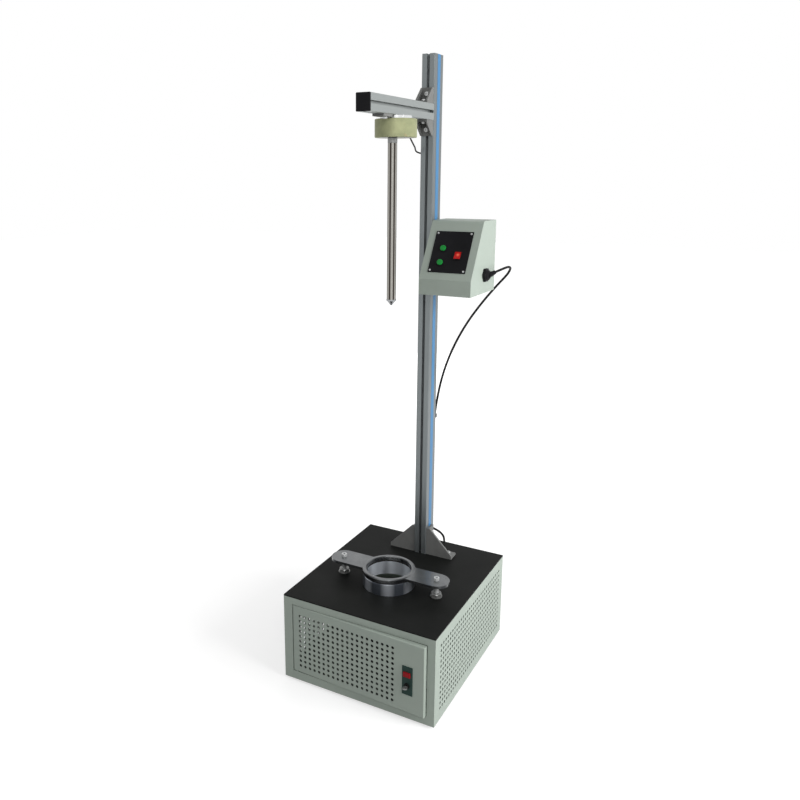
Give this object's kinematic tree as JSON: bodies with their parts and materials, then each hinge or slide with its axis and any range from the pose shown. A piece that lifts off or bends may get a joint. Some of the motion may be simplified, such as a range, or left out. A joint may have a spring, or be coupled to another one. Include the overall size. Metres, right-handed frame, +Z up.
{
  "type": "impact tester",
  "caption": "Free-fall impact tester: a magnet on a slotted column drops a steel rod into a ring clamp on a perforated sheet metal cabinet, with a control box.",
  "frame": {"origin": "on the surface the feet stand on, below the middle of the cabinet", "axes": "+X to the operator's right, +Y away from the operator, +Z up along the column"},
  "size_m": [0.48, 0.634, 1.794],
  "materials": {
    "cabinet_paint": "fine texture light grey-green powder coat",
    "plate_black": "black powder coat",
    "zinc_steel": "bright zinc",
    "polished_steel": "ground and polished",
    "clamp_steel": "satin",
    "profile_aluminium": "natural anodised satin",
    "blue_plastic": "satin",
    "cast_dark": "dark grey casting",
    "yellow_zinc": "yellow passivated zinc",
    "black_plastic": "moulded",
    "black_rubber": "matt",
    "label_black": "satin film",
    "lock_grey": "satin",
    "red_plastic": "gloss",
    "lit_red": "translucent gloss",
    "green_plastic": "gloss",
    "resin": "cast resin"
  },
  "bodies": {
    "stand": {"base_pan": "cabinet_paint", "left_panel": "cabinet_paint", "right_panel": "cabinet_paint", "back_panel": "cabinet_paint", "front_frame": "cabinet_paint", "hinge_pins": "zinc_steel", "top_plate": "plate_black", "top_plate_screws": "plate_black", "rubber_feet": "black_rubber", "backing_plate": "zinc_steel", "lock_keeper": "zinc_steel", "lower_ring": "polished_steel", "ring_gasket": "black_rubber", "clamp_posts": "zinc_steel", "post_nuts": "polished_steel", "column": "profile_aluminium", "slot_tape": "blue_plastic", "left_foot_gusset": "cast_dark", "right_foot_gusset": "cast_dark", "column_bolts": "zinc_steel", "column_slot_nuts": "zinc_steel", "catch_cushion": "black_rubber", "power_supply": "zinc_steel", "mains_inlet": "black_plastic", "control_box_shell": "cabinet_paint", "control_box_cover": "cabinet_paint", "cover_screws": "zinc_steel", "label_plate": "label_black", "label_screws": "zinc_steel", "button_bushes": "black_plastic", "rocker_frame": "black_plastic", "box_gland": "black_plastic", "control_cord": "black_rubber", "cord_clips": "black_plastic", "cabinet_gland": "black_plastic"},
    "door": {"door_panel": "cabinet_paint", "lock_housing": "lock_grey"},
    "lock_push": {"lock_button": "red_plastic"},
    "key": {"lock_cylinder": "zinc_steel", "lock_key": "zinc_steel"},
    "clamp": {"clamp_plate": "clamp_steel", "clamp_screws": "zinc_steel"},
    "carriage": {"arm": "profile_aluminium", "arm_end_cap": "black_plastic", "upper_arm_bracket": "cast_dark", "lower_arm_bracket": "cast_dark", "magnet_bracket": "cast_dark", "arm_bolts": "zinc_steel", "arm_slot_nuts": "zinc_steel", "magnet_spacer": "polished_steel", "magnet_pot": "yellow_zinc", "magnet_coil": "resin", "lead_bush": "black_rubber", "magnet_lead": "black_rubber"},
    "drop_rod": {"rod_shaft": "polished_steel", "rod_head": "zinc_steel", "rod_tip": "polished_steel"},
    "lower_push": {"lower_button": "green_plastic"},
    "upper_push": {"upper_button": "green_plastic"},
    "rocker": {"power_rocker": "lit_red"}
  },
  "joints": [
    {"name": "arm_height", "type": "slide", "parent": "stand", "child": "carriage", "axis": [0, 0, 1], "range_m": [-0.24, 0.08]},
    {"name": "rod_drop", "type": "slide", "parent": "carriage", "child": "drop_rod", "axis": [0, 0, -1], "range_m": [0, 0.8]},
    {"name": "door_swing", "type": "hinge", "parent": "stand", "child": "door", "pos_m": [-0.2, -0.265, 0.14], "axis": [0, 0, -1], "range_deg": [-1.9, 103]},
    {"name": "lock_press", "type": "slide", "parent": "door", "child": "lock_push", "axis": [0.0332, 0.9995, 0], "range_m": [0, 0.003], "stiffness_N_per_m": 400},
    {"name": "key_turn", "type": "hinge", "parent": "door", "child": "key", "pos_m": [0.16513, -0.28212, 0.12], "axis": [0.0332, 0.9995, 0], "range_deg": [-90, 0]},
    {"name": "clamp_lift", "type": "slide", "parent": "stand", "child": "clamp", "axis": [0, 0, 1], "range_m": [0, 0.012]},
    {"name": "lower_press", "type": "slide", "parent": "stand", "child": "lower_push", "axis": [0, 0.866, -0.5], "range_m": [0, 0.003], "stiffness_N_per_m": 400},
    {"name": "upper_press", "type": "slide", "parent": "stand", "child": "upper_push", "axis": [0, 0.866, -0.5], "range_m": [0, 0.003], "stiffness_N_per_m": 400},
    {"name": "rocker_tip", "type": "hinge", "parent": "stand", "child": "rocker", "pos_m": [0.1228, 0.1031, 1.24107], "axis": [1, 0, 0], "range_deg": [0, 14]}
  ]
}
